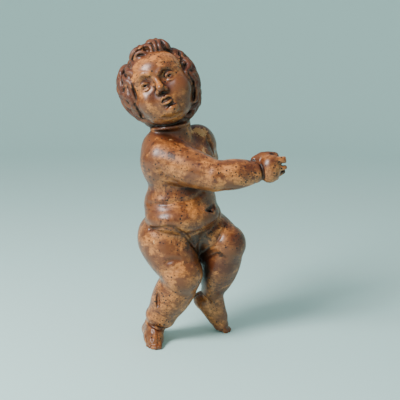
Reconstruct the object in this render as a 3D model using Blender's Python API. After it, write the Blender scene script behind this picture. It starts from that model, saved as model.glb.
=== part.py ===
import bpy
import bmesh
import numpy as np

# Carved wooden putto, one solid piece. Its forms are drawn as shares of its height:
# one unit of the drawing is UNIT metres. Front is -Y, up is +Z, the soles are at Z 0.
FIGURE_HEIGHT = 0.560     # metres, sole to the top of the hair
DRAWN_HEIGHT = 564.0      # the same height in units of the drawing
UNIT = FIGURE_HEIGHT / DRAWN_HEIGHT
TRIANGLES = 9700          # faces kept on the finished solid
GRID = 3.0                # units between samples of the form
EVEN = 2.4                # units between points of the skin before it is thinned out
STRANDS = 1               # ridges carved on each lock of hair


def vec(*v):
    return np.array(v, float)


def unit(v):
    v = np.array(v, float)
    return v / np.linalg.norm(v)


def rot(axis, degrees):
    """Turn matrix about an axis."""
    x, y, z = unit(axis)
    t = np.radians(degrees)
    k = np.array([[0, -z, y], [z, 0, -x], [-y, x, 0]])
    return np.eye(3) + np.sin(t) * k + (1 - np.cos(t)) * k @ k


# Space is handed about as three arrays x, y, z in units of the drawing.
def ball(p, c, r):
    return np.sqrt((p[0] - c[0])**2 + (p[1] - c[1])**2 + (p[2] - c[2])**2) - r


def local(p, centre, turn):
    """The same points read along the columns of a turn matrix."""
    d = [p[i] - centre[i] for i in range(3)]
    return [d[0] * turn[0, j] + d[1] * turn[1, j] + d[2] * turn[2, j] for j in range(3)]


def egg(p, centre, radii, turn=None):
    """Ellipsoid."""
    q = [p[i] - centre[i] for i in range(3)] if turn is None else local(p, centre, turn)
    a = np.sqrt((q[0] / radii[0])**2 + (q[1] / radii[1])**2 + (q[2] / radii[2])**2)
    b = np.sqrt((q[0] / radii[0]**2)**2 + (q[1] / radii[1]**2)**2 + (q[2] / radii[2]**2)**2)
    return a * (a - 1) / np.maximum(b, 1e-9)


def limb(p, a, b, ra, rb, bulge=0.0):
    """Round tapered limb from a to b, fuller in the middle by bulge."""
    d = np.subtract(b, a).astype(float)
    t = (p[0] - a[0]) * d[0] + (p[1] - a[1]) * d[1] + (p[2] - a[2]) * d[2]
    t = np.clip(t / d.dot(d), 0, 1)
    r = ra + (rb - ra) * t + 4 * bulge * t * (1 - t)
    x, y, z = (p[i] - a[i] - d[i] * t for i in range(3))
    return np.sqrt(x * x + y * y + z * z) - r


def chain(p, points, radii):
    """Tapered tube through a row of points."""
    d = None
    for i in range(len(points) - 1):
        e = limb(p, points[i], points[i + 1], radii[i], radii[i + 1])
        d = e if d is None else np.minimum(d, e)
    return d


def join(a, b, k):
    """Union with a soft seam about k wide."""
    h = np.maximum(k - np.abs(a - b), 0) / k
    return np.minimum(a, b) - h * h * k * 0.25


def carve(a, b, k):
    """Cut b out of a with a soft rim about k wide."""
    h = np.maximum(k - np.abs(a + b), 0) / k
    return np.maximum(a, -b) + h * h * k * 0.25


def where(d, p, centre, reach, form, k, how=join):
    """Join or carve a form only near it, which keeps the sums small."""
    near = np.nonzero(sum((p[i] - centre[i])**2 for i in range(3)) < reach**2)[0]
    if len(near):
        d[near] = how(d[near], form([c[near] for c in p]), k)
    return d


def curve(points, n=4):
    """Points along a smooth curve through the given ones."""
    q = np.array(points, float)
    q = np.vstack([2 * q[0] - q[1], q, 2 * q[-1] - q[-2]])
    out = []
    for i in range(1, len(q) - 2):
        a, b, c, d = q[i - 1:i + 3]
        for t in np.linspace(0, 1, n, endpoint=False):
            out.append(0.5 * (2 * b + (c - a) * t + (2 * a - 5 * b + 4 * c - d) * t**2
                              + (3 * b - a - 3 * c + d) * t**3))
    out.append(q[-2])
    return np.array(out)


def onto(form, point, lift=0.0):
    """Point lift above a form's skin at the place nearest to the one given."""
    c = np.array(point, float)
    for _ in range(8):
        q = [c[i] + np.array([0, 1.0 * (i == 0), 1.0 * (i == 1), 1.0 * (i == 2)]) for i in range(3)]
        f = form(q)
        way = unit(f[1:] - f[0])
        c = c - way * f[0]
    return c + way * lift


def groove(d, p, points, radius, k):
    """Carve a crease along a curve that lies on the surface."""
    path = curve(points)
    n = len(path)
    r = radius * np.sin(np.pi * (0.08 + 0.84 * np.arange(n) / (n - 1)))**0.5
    mid = path.mean(0)
    reach = np.linalg.norm(path - mid, axis=1).max() + radius + 2 * k
    return where(d, p, mid, reach, lambda q: chain(q, path, r), k, carve)


# Torso
PELVIS = rot((0, 0, 1), 38)
CHEST = rot((0, 0, 1), 46)
HIPS_AT = vec(-37, 14, 206)
CHEST_AT = vec(-38, 10, 328)


def stump(p):
    """Left shoulder, broken off rough below and behind."""
    d = join(ball(p, (-6, 40, 372), 34), limb(p, (1, 46, 361), (10, 60, 339), 29, 25), 10)
    way = unit((0.35, 0.55, -0.76))
    flat = sum((p[i] - (12, 60, 338)[i]) * way[i] for i in range(3)) - 6
    d = np.maximum(d, flat)
    for c in ((2, 58, 330), (22, 62, 338), (10, 74, 346)):
        d = carve(d, ball(p, c, 6), 3)
    return d


def torso(p):
    d = egg(p, (-37, 14, 214), (64, 54, 46), PELVIS)
    d = join(d, egg(p, (-36, 11, 264), (71, 58, 58), PELVIS), 22)
    d = join(d, egg(p, (-30, -1, 244), (74, 60, 37), PELVIS), 6)
    c = egg(p, CHEST_AT, (66, 50, 66), CHEST)
    c = join(c, ball(p, (-66, -20, 348), 40), 24)
    c = join(c, ball(p, (-72, -12, 370), 32), 10)
    c = join(c, egg(p, (1, 8, 338), (35, 22, 34), CHEST), 9)
    c = join(c, stump(p), 9)
    d = join(d, c, 14)
    for s in (-1, 1):
        d = join(d, ball(p, HIPS_AT + PELVIS @ vec(s * 29, 24, 0), 40), 7)
    return d


def torso_creases(d, p):
    navel = [vec(12, -36, 260), vec(25, -13, 262), vec(21, -23, 254), vec(12, -36, 260)]
    d = where(d, p, vec(20, -26, 259), 34, lambda q: chain(q, navel, (2, 3.4, 3.4, 2)), 3.5, carve)
    d = where(d, p, vec(20, -26, 259), 34, lambda q: ball(q, (22, -22, 256), 4), 2)
    spine = [CHEST_AT + CHEST @ vec(0, 40, 50), CHEST_AT + CHEST @ vec(0, 51, 2),
             vec(-38, 13, 270) + PELVIS @ vec(0, 60, 0), vec(-37, 14, 222) + PELVIS @ vec(0, 64, 0)]
    return groove(d, p, spine, 5, 12)


def neck(p):
    d = limb(p, (-48, 8, 385), (-57, 0, 440), 35, 33)
    return join(d, egg(p, (-54, -4, 408), (36, 36, 9), rot((0, 1, 0), -8)), 5)


# Legs and feet
def leg_right(p):
    d = limb(p, (-64, 2, 198), (-35, -22, 144), 51.5, 38, 3)
    d = join(d, ball(p, (-31, -28, 136), 33), 12)
    d = join(d, limb(p, (-36, -14, 122), (-73, 3, 52), 35, 25, 6), 6)
    return join(d, egg(p, (-75, 2, 46), (24.5, 24, 14), rot((0, 1, 0), 22)), 18)


def leg_left(p):
    d = limb(p, (-4, 34, 214), (49, 4, 191), 46, 34, 3)
    d = join(d, ball(p, (53, 0, 186), 29), 12)
    d = join(d, egg(p, (8, 18, 168), (17, 20, 24)), 8)
    d = join(d, limb(p, (44, 11, 170), (24, 42, 84), 36, 20, 7), 5)
    return join(d, egg(p, (24, 43, 84), (21, 21, 11), rot((0, 1, 0), 12)), 8)


def toes(p, roots, tips, sizes):
    """Row of short toes from the ball of the foot to tips that press flat on the ground."""
    d = None
    for (x, y), (u, v), r in zip(roots, tips, sizes):
        a, c = vec(x, y, 8), vec(u, v, r - 2)
        b = (a + c) / 2 + vec(0, 0, 1.5)
        toe = join(limb(p, a, b, r, r * 0.9), limb(p, b, c, r * 0.9, r), 1.5)
        d = toe if d is None else join(d, toe, 0.5)
    return d


def foot_right(p):
    d = egg(p, (-90, 22, 16), (22, 21, 18))
    d = join(d, limb(p, (-84, 6, 32), (-84, -28, 11), 21, 11.5), 12)
    d = join(d, egg(p, (-86, -15, 8), (18, 25, 11)), 8)
    d = join(d, egg(p, (-94, 2, 13), (13, 24, 14)), 8)
    roots = ((-75, -26), (-80, -28), (-86, -27), (-91, -24), (-96, -18))
    tips = ((-75, -43), (-81, -45.5), (-87, -43), (-92, -37.5), (-96.5, -30))
    return join(d, toes(p, roots, tips, (5.2, 4.6, 4.4, 4.2, 4)), 2)


def foot_left(p):
    d = ball(p, (3, 55, 64), 16)
    d = join(d, chain(p, (vec(14, 52, 60), vec(33, 53, 29), vec(42, 54, 14)), (21, 18, 12.5)), 8)
    d = join(d, egg(p, (40, 55, 11), (13, 18, 9.5)), 8)
    d = join(d, limb(p, (27, 42, 80), (40, 50, 30), 17, 13), 8)
    roots = ((41, 43), (44, 48), (45, 54), (44, 60), (42, 65))
    tips = ((50.5, 41), (55.5, 47.5), (57, 54.5), (56, 61), (53, 67))
    return join(d, toes(p, roots, tips, (5.2, 4.4, 4.2, 4, 3.8)), 2)


# Right arm and hand
def arm(p):
    d = limb(p, (-64, -28, 352), (24, -64, 327), 39, 27.5, 2)
    return join(d, limb(p, (32, -66, 327), (94, -63, 333), 25, 19.5, 4.5), 7)


def hand(p):
    """Closed hand seen on its back: thumb on top, two broken fingers, one tucked under."""
    d = egg(p, (120.5, -62, 339), (18.5, 17, 25))
    d = join(d, egg(p, (125, -66, 340), (13, 13, 20)), 8)
    for a, b, ra, rb in (((124, -68, 354), (146.5, -66, 355.5), 7, 5.8),
                         ((126, -68, 344), (137, -66, 344), 5.5, 5),
                         ((124, -68, 338), (147, -66, 342), 5.5, 4),
                         ((122, -64, 325), (132, -60, 324), 6.5, 6),
                         ((129, -57, 325), (145, -53, 332.5), 6, 4.4)):
        d = join(d, limb(p, a, b, ra, rb), 2)
    thumb = (vec(97, -54, 352), vec(108, -51, 358.5), vec(119, -50, 360), vec(130, -52, 359.5))
    d = join(d, chain(p, thumb, (9, 8.5, 8, 7.5)), 7)
    d = carve(d, egg(p, (127, -61, 366), (8, 5, 3)), 1.5)
    d = np.maximum(d, (p[0] - 151) + 0.15 * (p[2] - 340))
    for c in ((131, -80, 349), (134, -79, 339), (134, -78, 333)):
        d = carve(d, ball(p, c, 2.6), 2)
    return d


# Head, in its own axes: x to the viewer's right, y to the back, z up. The face is turned in it.
HEAD_AT = vec(-71, -8, 480)
HEAD = rot((0, 1, 0), -19) @ rot((1, 0, 0), -13) @ rot((0, 0, 1), 5)
FACE_AT = vec(0, 0, 2)
FACE = rot((0, 1, 0), -8) @ rot((1, 0, 0), 5) @ rot((0, 0, 1), -4)


def face(q):
    d = egg(q, (0, 8, 4), (56, 60, 58))
    d = join(d, egg(q, (0, -24, 18), (44, 34, 34)), 14)
    for s in (-1, 1):
        d = join(d, ball(q, (s * 26, -31, -24), 23), 16)
    d = join(d, egg(q, (-2, -14, -37), (45, 39, 37)), 10)
    d = join(d, egg(q, (0, -44, -32), (18, 13, 15)), 9)
    for s, z in ((-1, 2.5), (1, 0)):
        d = carve(d, ball(q, (s * 21, -66, z + 2), 17.5), 6)
        d = carve(d, ball(q, (s * 12, -63.5, z + 1), 8), 6)
        z = 2.2 * z
        brow = curve([(s * 8, -56.5, z + 12), (s * 17, -54.5, z + 17),
                      (s * 27, -49.5, z + 14.5), (s * 37, -39, z + 6)], 3)
        d = join(d, chain(q, brow, np.linspace(2.8, 2.2, len(brow))), 5.5)
    return where(d, q, (2, -48, -50), 30, lambda z: ball(z, (2, -48, -50), 12.5), 3.5)


EYES = {-1: vec(-22, -40, 1.5), 1: vec(22, -40, -1)}
EYEBALL = 11.5


def eye_point(s, az, el, out):
    """Point out from the middle of an eye, az degrees towards the temple and el degrees up."""
    a, e = np.radians(az), np.radians(el)
    return EYES[s] + out * vec(s * np.sin(a) * np.cos(e), -np.cos(a) * np.cos(e), np.sin(e))


def eye(q, s):
    """Eyeball with a hollow pupil between two full lids."""
    d = ball(q, EYES[s], EYEBALL)
    d = carve(d, ball(q, eye_point(s, 2, 14, EYEBALL + 1.6), 4.8), 0.8)
    for angles, thin, full in ((((-52, -8), (-28, 16), (4, 28), (34, 19), (60, -12)), 1.4, 2.1),
                               (((-52, -8), (-18, -25), (20, -30), (60, -12)), 1.2, 0.8)):
        lid = curve([eye_point(s, az, el, EYEBALL + 0.9) for az, el in angles], 4)
        d = join(d, chain(q, lid, thin + full * np.sin(np.linspace(0, np.pi, len(lid)))), 0.8)
    return d


def nose(q):
    d = limb(q, (0, -52, 8), (0, -61, -11), 4.4, 5.6)
    d = join(d, ball(q, (0, -63.5, -13), 6.3), 5)
    for s in (-1, 1):
        d = join(d, ball(q, (s * 6.8, -58.5, -17.5), 4.7), 3)
    for s in (-1, 1):
        d = carve(d, ball(q, (s * 4.2, -62.5, -22), 3.1), 1.2)
    return d


LIPS_AT = -35.0


def mouth(d, q):
    z = LIPS_AT
    for s in (-1, 1):
        lip = curve([(0, -58.5, z + 5), (s * 3.5, -59, z + 6.3),
                     (s * 8.5, -56.5, z + 3.5), (s * 12, -52.5, z)], 3)
        d = join(d, chain(q, lip, np.linspace(2.6, 1.3, len(lip))), 1.5)
    lip = curve([(-9.5, -53.5, z - 2), (-5, -56.5, z - 4.6), (0, -57.5, z - 5.2),
                 (5, -56.5, z - 4.6), (9.5, -53.5, z - 2)], 3)
    d = join(d, chain(q, lip, 1.5 + 2.2 * np.sin(np.linspace(0, np.pi, len(lip)))), 2)
    slit = [(-11, -54.5, z - 1.5), (-5, -58, z + 0.6), (0, -59.5, z - 0.4), (5, -58, z + 0.6),
            (11, -54.5, z - 1.5)]
    d = carve(d, chain(q, [vec(*v) for v in slit], (0.8, 2.2, 2.6, 2.2, 0.8)), 1)
    d = carve(d, limb(q, (-7, -56.5, z - 10), (7, -56.5, z - 10), 2.2, 2.2), 5)
    return carve(d, limb(q, (0, -60.5, -21.5), (0, -61.5, z + 8.5), 1.2, 1.6), 2.5)


# Hair: a thick cap, with wavy locks combed down from the crown
SCALP = vec(-3, 12, 4)


def hair_mass(q):
    d = egg(q, (0, 14, 1), (63, 63, 61))
    d = join(d, egg(q, (-48, 12, 12), (16, 33, 28)), 12)
    d = join(d, egg(q, (-46, -12, 6), (10, 20, 32)), 8)
    d = join(d, egg(q, (8, 18, -28), (48, 46, 36)), 14)
    d = join(d, egg(q, (-12, -20, 53), (19, 17, 14)), 8)
    return join(d, egg(q, (13, -14, 57), (20, 20, 14)), 8)


def on_scalp(az, el, lift):
    """Point lift above the mass of hair, seen from the middle of the skull."""
    a, e = np.radians(az), np.radians(el)
    way = np.array([np.cos(e) * np.sin(a), -np.cos(e) * np.cos(a), np.sin(e)])
    lo, hi = 20.0, 120.0
    for _ in range(14):
        mid = (lo + hi) / 2
        c = SCALP + way * mid
        inside = hair_mass([np.array([v]) for v in c])[0] < 0
        lo, hi = (mid, hi) if inside else (lo, mid)
    return SCALP + way * (lo + lift)


def comb(az, el, heading, length, wave, curl, lift=1.5, n=11):
    """Walk a lock over the hair: heading 0 goes to the viewer's right, 90 up; curl rolls up its end."""
    path = []
    step = length / (n - 1)
    for i in range(n):
        t = i / (n - 1)
        path.append(on_scalp(az, el, lift + 2.5 * np.sin(np.pi * t)))
        heading += (wave * np.cos(2 * np.pi * t) * 2 * np.pi + curl * 3 * t * t) / (n - 1)
        el += np.degrees(step * np.sin(np.radians(heading)) / 66)
        az += np.degrees(step * np.cos(np.radians(heading)) / (66 * max(np.cos(np.radians(el)), 0.3)))
    return np.array(path)


def lock_plan():
    """Azimuth, elevation, heading, length, wave, curl and width of every lock."""
    plan = []
    for i in range(11):
        a = 180 + 360 * i / 11
        plan.append((a, 80, -90, 24 if abs(a - 360) < 50 else 44, 20, 60 * (-1)**i, 19))
    for row, (e, n, first, last) in enumerate(((50, 13, 62, 298), (26, 14, 62, 298), (2, 14, 60, 300),
                                               (-22, 13, 64, 296), (-44, 10, 80, 280))):
        for i in range(n):
            a = first + (last - first) * (i + 0.5 * (row % 2)) / (n - 1)
            plan.append((a, e, -90 + 20 * (-1)**(i + row), 46, 22, 80 * (-1)**(i + row), 21))
    return plan


# Ridges of the locks round the face, in head axes, with their thickness
RIDGES = (
    # forelock, from the roll on the left over the ring to the hooks on the right
    ([(-40, -14, 44), (-33, -20, 58), (-25, -22, 70), (-14, -24, 74)], 4),
    ([(-33, -20, 52), (-22, -30, 60), (-10, -25, 68), (2, -22, 72), (11, -24, 68), (13, -31, 60),
      (12, -33, 52)], 3.4),
    ([(-14, -31, 62), (-5, -26, 68), (4, -30, 62), (5, -33, 55), (0, -35, 50)], 2.8),
    ([(-27, -31, 50), (-19, -34, 56), (-11, -36, 55), (-7, -36, 50), (-13, -36, 47)], 2.8),
    ([(0, -16, 77), (12, -20, 75), (20, -26, 67), (19, -32, 58), (21, -32, 50), (29, -26, 46)], 3.4),
    ([(14, -10, 77), (23, -18, 70), (27, -22, 62), (31, -22, 54), (38, -14, 48)], 3.4),
    ([(24, -8, 73), (34, -10, 64), (42, -8, 56), (54, 0, 49)], 4),
    ([(-41, -24, 38), (-31, -32, 44), (-20, -36, 49), (-9, -37, 45), (1, -37, 48), (11, -37, 44),
      (22, -34, 45)], 3),
    # rolls on the right side of the face
    ([(36, -10, 52), (43, -14, 40), (52, -6, 38), (60, 2, 42)], 3.2),
    ([(41, -18, 38), (45, -20, 29), (53, -14, 27), (61, -2, 32), (66, 6, 36)], 3.4),
    ([(43, -24, 24), (49, -20, 18), (57, -12, 19), (64, 0, 25)], 3),
    ([(46, -26, -8), (47, -27, 2), (54, -20, 7), (63, -4, 13), (70, 8, 17)], 3.4),
    ([(54, -16, 10), (58, -10, 2), (62, 0, -10), (60, 8, -24), (52, 0, -31)], 3.6),
    ([(47, -24, -6), (51, -20, -18), (53, -10, -30), (48, -6, -40)], 3),
    ([(68, 10, 0), (69, 12, -16), (66, 14, -30), (58, 18, -44)], 3.6),
    ([(46, -8, -38), (52, 10, -44), (52, 20, -54), (44, 24, -62)], 3.4),
    ([(42, -6, -50), (44, 14, -60), (38, 24, -68)], 3),
    # shells and hooks on the left side
    ([(-44, -30, 36), (-47, -30, 20), (-49, -32, 4), (-48, -30, -12), (-46, -22, -28)], 3.4),
    ([(-44, -4, 50), (-55, 0, 38), (-61, -14, 22), (-57, -22, 12), (-51, -24, 18), (-50, -18, 30)], 3.2),
    ([(-58, 6, 44), (-66, 2, 28), (-70, -6, 12), (-65, -14, 0), (-56, -24, 2), (-49, -26, 12)], 3.4),
    ([(-72, 4, 6), (-68, 0, -9), (-63, -4, -17), (-56, -14, -18), (-51, -21, -11), (-54, -23, -4)], 3.2),
    ([(-50, -26, 4), (-50, -24, -8), (-48, -20, -18), (-50, -12, -27)], 3),
    ([(-68, 8, -16), (-61, 14, -24), (-56, 18, -34), (-51, 14, -42), (-48, 2, -36)], 3.2),
    ([(-48, -12, -24), (-48, -2, -36), (-46, 8, -46), (-42, 20, -54)], 3),
    ([(-56, 22, -38), (-50, 25, -50), (-42, 25, -60)], 3.4),
    ([(-52, 24, 44), (-62, 26, 30), (-67, 28, 14), (-66, 30, -2)], 4.4),
    ([(-48, 12, 50), (-61, 14, 34), (-68, 16, 18)], 4.4),
    ([(-70, 18, 6), (-68, 24, -10), (-62, 28, -24)], 4.4),
)
RING_AT = (-4, -31, 59)


def make_locks(strands):
    locks = []
    for points, thick in RIDGES:
        path = np.array([onto(hair_mass, point, 2.4) for point in curve(points, 3)])
        t = np.linspace(0, 1, len(path))
        r = 1.08 * thick * np.clip(1.15 * np.sin(np.pi * (0.12 + 0.76 * t))**0.5, 0.3, 1)
        mid = path.mean(0)
        locks.append((mid, np.linalg.norm(path - mid, axis=1).max() + 12, [(path, r)]))
    for lock in lock_plan():
        path = comb(*lock[:6])
        width = lock[6]
        run = np.gradient(path, axis=0)
        out = path - SCALP
        side = np.cross(run, out)
        side /= np.linalg.norm(side, axis=1)[:, None]
        out /= np.linalg.norm(out, axis=1)[:, None]
        t = np.linspace(0, 1, len(path))
        half = width / 2 * np.clip(1.1 * np.sin(np.pi * (0.1 + 0.88 * t))**0.6, 0.1, 1)
        rows = []
        for j in range(strands):
            u = 0 if strands == 1 else 2 * j / (strands - 1) - 1
            r = half * (0.72 if strands == 1 else 0.95 / strands + 0.05)
            rows.append((path + side * (u * half * 0.75)[:, None] + out * (1.8 - u * u), r))
        mid = path.mean(0)
        locks.append((mid, np.linalg.norm(path - mid, axis=1).max() + width, rows))
    return locks


LOCKS = make_locks(STRANDS)


def hair(q):
    d = hair_mass(q)
    for mid, reach, rows in LOCKS:
        def lock(z, rows=rows):
            e = chain(z, *rows[0])
            for path, r in rows[1:]:
                e = join(e, chain(z, path, r), 1)
            return e
        d = where(d, q, mid, reach, lock, 1.5)
    d = carve(d, ball(q, RING_AT, 5.6), 1.5)
    return carve(d, egg(q, (-1, -66, -10), (53, 62, 59)), 3)


def head(p):
    q = local(p, HEAD_AT, HEAD)
    f = local(q, FACE_AT, FACE)
    d = join(face(f), nose(f), 4)
    for s in (-1, 1):
        d = where(d, f, EYES[s], 24, lambda z: eye(z, s), 1.2)
    d = mouth(d, f)
    return join(d, hair(q), 2)


# Creases that lie on the finished surface
CREASES = (
    # belly over the right thigh and down between the legs, belly over the left thigh
    ([(-90, -34, 225), (-75, -53, 231), (-56, -63, 235), (-42, -63, 232), (-29, -49, 219), (-16, -35, 201),
      (-5, -22, 181), (0, 3, 157)], 2.4, 5.5),
    ([(46, -8, 229), (41, -14, 218), (32, -20, 202), (21, -20, 189), (3, -4, 170)], 1.8, 5),
    ([(-29, -49, 219), (-14, -46, 216), (9, -36, 222), (30, -18, 234), (38, -8, 247)], 1.6, 7),
    # fold under the breast, armpit, wrist
    ([(-93, -30, 270), (-74, -46, 273), (-57, -51, 274), (-42, -50, 278), (-25, -46, 279), (-9, -37, 282),
      (5, -22, 289)], 1.0, 9),
    ([(-70, -65, 338), (-64, -63, 328), (-55, -62, 321), (-42, -62, 317)], 1.6, 8),
    ([(91, -62, 354), (102, -70, 349), (106, -74, 343), (108, -75, 331), (106, -68, 319)], 1.3, 3.5),
    # knees, ankles, and the tendon cut in the right foot
    ([(8, -8, 161), (18, -16, 168), (27, -23, 174), (36, -27, 176), (47, -28, 169)], 1.6, 4.5),
    ([(-59, -55, 169), (-48, -56, 173), (-37, -55, 172)], 1.2, 9),
    ([(-97, -8, 37), (-87, -20, 34), (-74, -24, 30), (-62, -16, 28)], 1.2, 3),
    ([(-11, 49, 69), (-3, 46, 77), (6, 31, 81), (18, 28, 71), (21, 32, 65)], 1.6, 3.5),
    ([(-87, -23, 29), (-87, -31, 21), (-88, -38, 11)], 1.6, 2),
    ([(-102, -18, 20), (-98, -35, 9)], 1.2, 2),
    ([(-78, -30, 22), (-77, -43, 8)], 1, 2),
    # gaps between the rolls of hair: beside both cheeks and on the right of the forelock
    ([(-14, -24, 490), (-12, -27, 478), (-10, -26, 466), (-12, -32, 454)], 3, 2),
    ([(-111, -45, 450), (-106, -42, 437), (-100, -26, 424)], 2.6, 2),
    ([(-42, 2, 541), (-37, -8, 531), (-32, -25, 521), (-28, -27, 509)], 2.6, 2),
    # edge of the broken shoulder, double chin
    ([(5, 24, 395), (16, 15, 378), (23, 16, 367), (27, 13, 351)], 2, 5),
    ([(-62, -59, 427), (-52, -57, 426), (-41, -55, 430), (-33, -52, 436)], 1.2, 7),
)
GOUGE_AT = (-78, -33, 91)


def body(p):
    d = join(torso(p), neck(p), 8)
    d = torso_creases(d, p)
    d = join(d, leg_right(p), 6)
    d = join(d, leg_left(p), 6)
    d = join(d, arm(p), 6)
    d = where(d, p, (125, -60, 340), 64, hand, 3)
    d = where(d, p, (-72, 0, 470), 125, head, 3)
    d = where(d, p, (-92, -10, 14), 74, foot_right, 3)
    return where(d, p, (23, 45, 32), 74, foot_left, 3)


CUTS = [([onto(body, point) for point in curve(points, 2)], radius, k) for points, radius, k in CREASES]


def figure(p):
    d = body(p)
    for points, radius, k in CUTS:
        d = groove(d, p, points, radius, k)
    return where(d, p, GOUGE_AT, 26, lambda q: egg(q, GOUGE_AT, (4.4, 6, 16)), 1.5, carve)


# Turning the form into a mesh
BLOCK = 6
LOW = (-170, -120, -12)
HIGH = (175, 120, 590)


def sample(step):
    """Values of the form on a grid, worked out only near its surface."""
    size = step * BLOCK
    n = [int(np.ceil((HIGH[i] - LOW[i]) / size)) for i in range(3)]
    mids = np.meshgrid(*[LOW[i] + (np.arange(n[i]) + 0.5) * size for i in range(3)], indexing="ij")
    c = [m.ravel() for m in mids]
    d = figure(c)
    reach = 1.1 * size + 2 * step
    grid = np.sign(d).reshape(n) * reach
    for axis in range(3):
        grid = np.repeat(grid, BLOCK, axis)
    near = np.flatnonzero(np.abs(d) < reach)
    o = (np.arange(BLOCK) + 0.5) * step - size / 2
    off = [m.ravel() for m in np.meshgrid(o, o, o, indexing="ij")]
    fine = figure([(c[i][near][:, None] + off[i]).ravel() for i in range(3)])
    fine = fine.reshape(len(near), BLOCK, BLOCK, BLOCK)
    for (i, j, k), block in zip(np.stack(np.unravel_index(near, n), 1) * BLOCK, fine):
        grid[i:i + BLOCK, j:j + BLOCK, k:k + BLOCK] = block
    return grid, np.array(LOW) + step / 2


def skin(grid, origin, step):
    """Closed skin of four-sided faces round the negative side of the grid."""
    solid = grid < 0
    n = solid.shape
    count = sum(solid[i:n[0] - 1 + i, j:n[1] - 1 + j, k:n[2] - 1 + k].astype(np.int8)
                for i in (0, 1) for j in (0, 1) for k in (0, 1))
    cell = (count > 0) & (count < 8)
    at = np.argwhere(cell)
    number = np.full(cell.shape, -1)
    number[cell] = np.arange(len(at))
    total = np.zeros((len(at), 3))
    crossings = np.zeros(len(at))
    faces = []
    for axis in range(3):
        u, v = [i for i in range(3) if i != axis]
        for a in (0, 1):
            for b in (0, 1):
                lo = np.zeros(3, int)
                lo[u], lo[v] = a, b
                hi = lo.copy()
                hi[axis] = 1
                f0 = grid[tuple((at + lo).T)]
                f1 = grid[tuple((at + hi).T)]
                cut = (f0 < 0) != (f1 < 0)
                where_cut = lo + np.zeros((cut.sum(), 3))
                where_cut[:, axis] += f0[cut] / (f0[cut] - f1[cut])
                total[cut] += where_cut
                crossings[cut] += 1
        below = [slice(None)] * 3
        above = [slice(None)] * 3
        below[axis] = slice(0, -1)
        above[axis] = slice(1, None)
        edge = np.argwhere(solid[tuple(below)] != solid[tuple(above)])
        eu = np.eye(3, dtype=int)[u]
        ev = np.eye(3, dtype=int)[v]
        quad = np.stack([number[tuple(c.T)] for c in (edge - eu - ev, edge - ev, edge, edge - eu)], 1)
        back = solid[tuple(edge.T)] == (axis == 1)
        quad[back] = quad[back][:, ::-1]
        faces.append(quad)
    return (at + total / crossings[:, None]) * step + origin, np.concatenate(faces)


def settle(points, h, most, rounds):
    """Slide points onto the true surface of the form."""
    p = [points[:, i].copy() for i in range(3)]
    for _ in range(rounds):
        f = figure(p)
        g = []
        for i in range(3):
            q = list(p)
            q[i] = p[i] + h
            r = list(p)
            r[i] = p[i] - h
            g.append((figure(q) - figure(r)) / (2 * h))
        move = np.clip(f / np.maximum(g[0]**2 + g[1]**2 + g[2]**2, 0.1), -most, most)
        p = [p[i] - move * g[i] for i in range(3)]
    return np.stack(p, 1)


def wood():
    mat = bpy.data.materials.new("carved_wood")
    mat.use_nodes = True
    shader = mat.node_tree.nodes["Principled BSDF"]
    shader.inputs["Base Color"].default_value = (0.30, 0.15, 0.07, 1)
    shader.inputs["Roughness"].default_value = 0.4
    return mat


def as_object(name, points, faces):
    mesh = bpy.data.meshes.new(name)
    mesh.from_pydata((points * UNIT).tolist(), [], faces.tolist())
    obj = bpy.data.objects.new(name, mesh)
    bpy.context.scene.collection.objects.link(obj)
    return obj


def bake(obj):
    """Turn the object's modifiers into plain mesh."""
    graph = bpy.context.evaluated_depsgraph_get()
    mesh = bpy.data.meshes.new_from_object(obj.evaluated_get(graph))
    obj.modifiers.clear()
    obj.data = mesh


def even_out(obj):
    """Rebuild the skin in even faces, which also parts strands that only touch."""
    even = obj.modifiers.new("even", "REMESH")
    even.mode = "VOXEL"
    even.voxel_size = EVEN * UNIT
    bake(obj)
    co = np.array([v.co[:] for v in obj.data.vertices]) / UNIT
    co = settle(co, 0.4, GRID, 2) * UNIT
    obj.data.vertices.foreach_set("co", co.ravel())


def thin_out(obj, target):
    """Reduce the faces to about the target, keeping those that carry the carving."""
    thin = obj.modifiers.new("thin", "DECIMATE")
    thin.ratio = target / (2 * len(obj.data.polygons))
    thin.use_collapse_triangulate = True
    bake(obj)


def flatten_soles(obj):
    """Cut both soles level, as the carver sawed them."""
    bpy.ops.mesh.primitive_cube_add(size=FIGURE_HEIGHT * 2, location=(0, 0, -FIGURE_HEIGHT))
    ground = bpy.context.object
    cut = obj.modifiers.new("soles", "BOOLEAN")
    cut.operation = "DIFFERENCE"
    cut.object = ground
    bake(obj)
    bpy.data.objects.remove(ground, do_unlink=True)


def stand(obj):
    """Triangles only, with the origin under the middle of the figure."""
    bm = bmesh.new()
    bm.from_mesh(obj.data)
    bmesh.ops.triangulate(bm, faces=bm.faces)
    co = np.array([v.co[:] for v in bm.verts])
    mid = (co.min(0) + co.max(0)) / 2
    bmesh.ops.translate(bm, verts=bm.verts, vec=(-mid[0], -mid[1], 0))
    bm.to_mesh(obj.data)
    bm.free()
    obj.data.shade_smooth()


for old in list(bpy.data.objects):
    bpy.data.objects.remove(old, do_unlink=True)

putto = as_object("putto_figure", *skin(*sample(GRID), GRID))
even_out(putto)
thin_out(putto, TRIANGLES)
flatten_soles(putto)
stand(putto)
putto.data.materials.clear()
putto.data.materials.append(wood())
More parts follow.
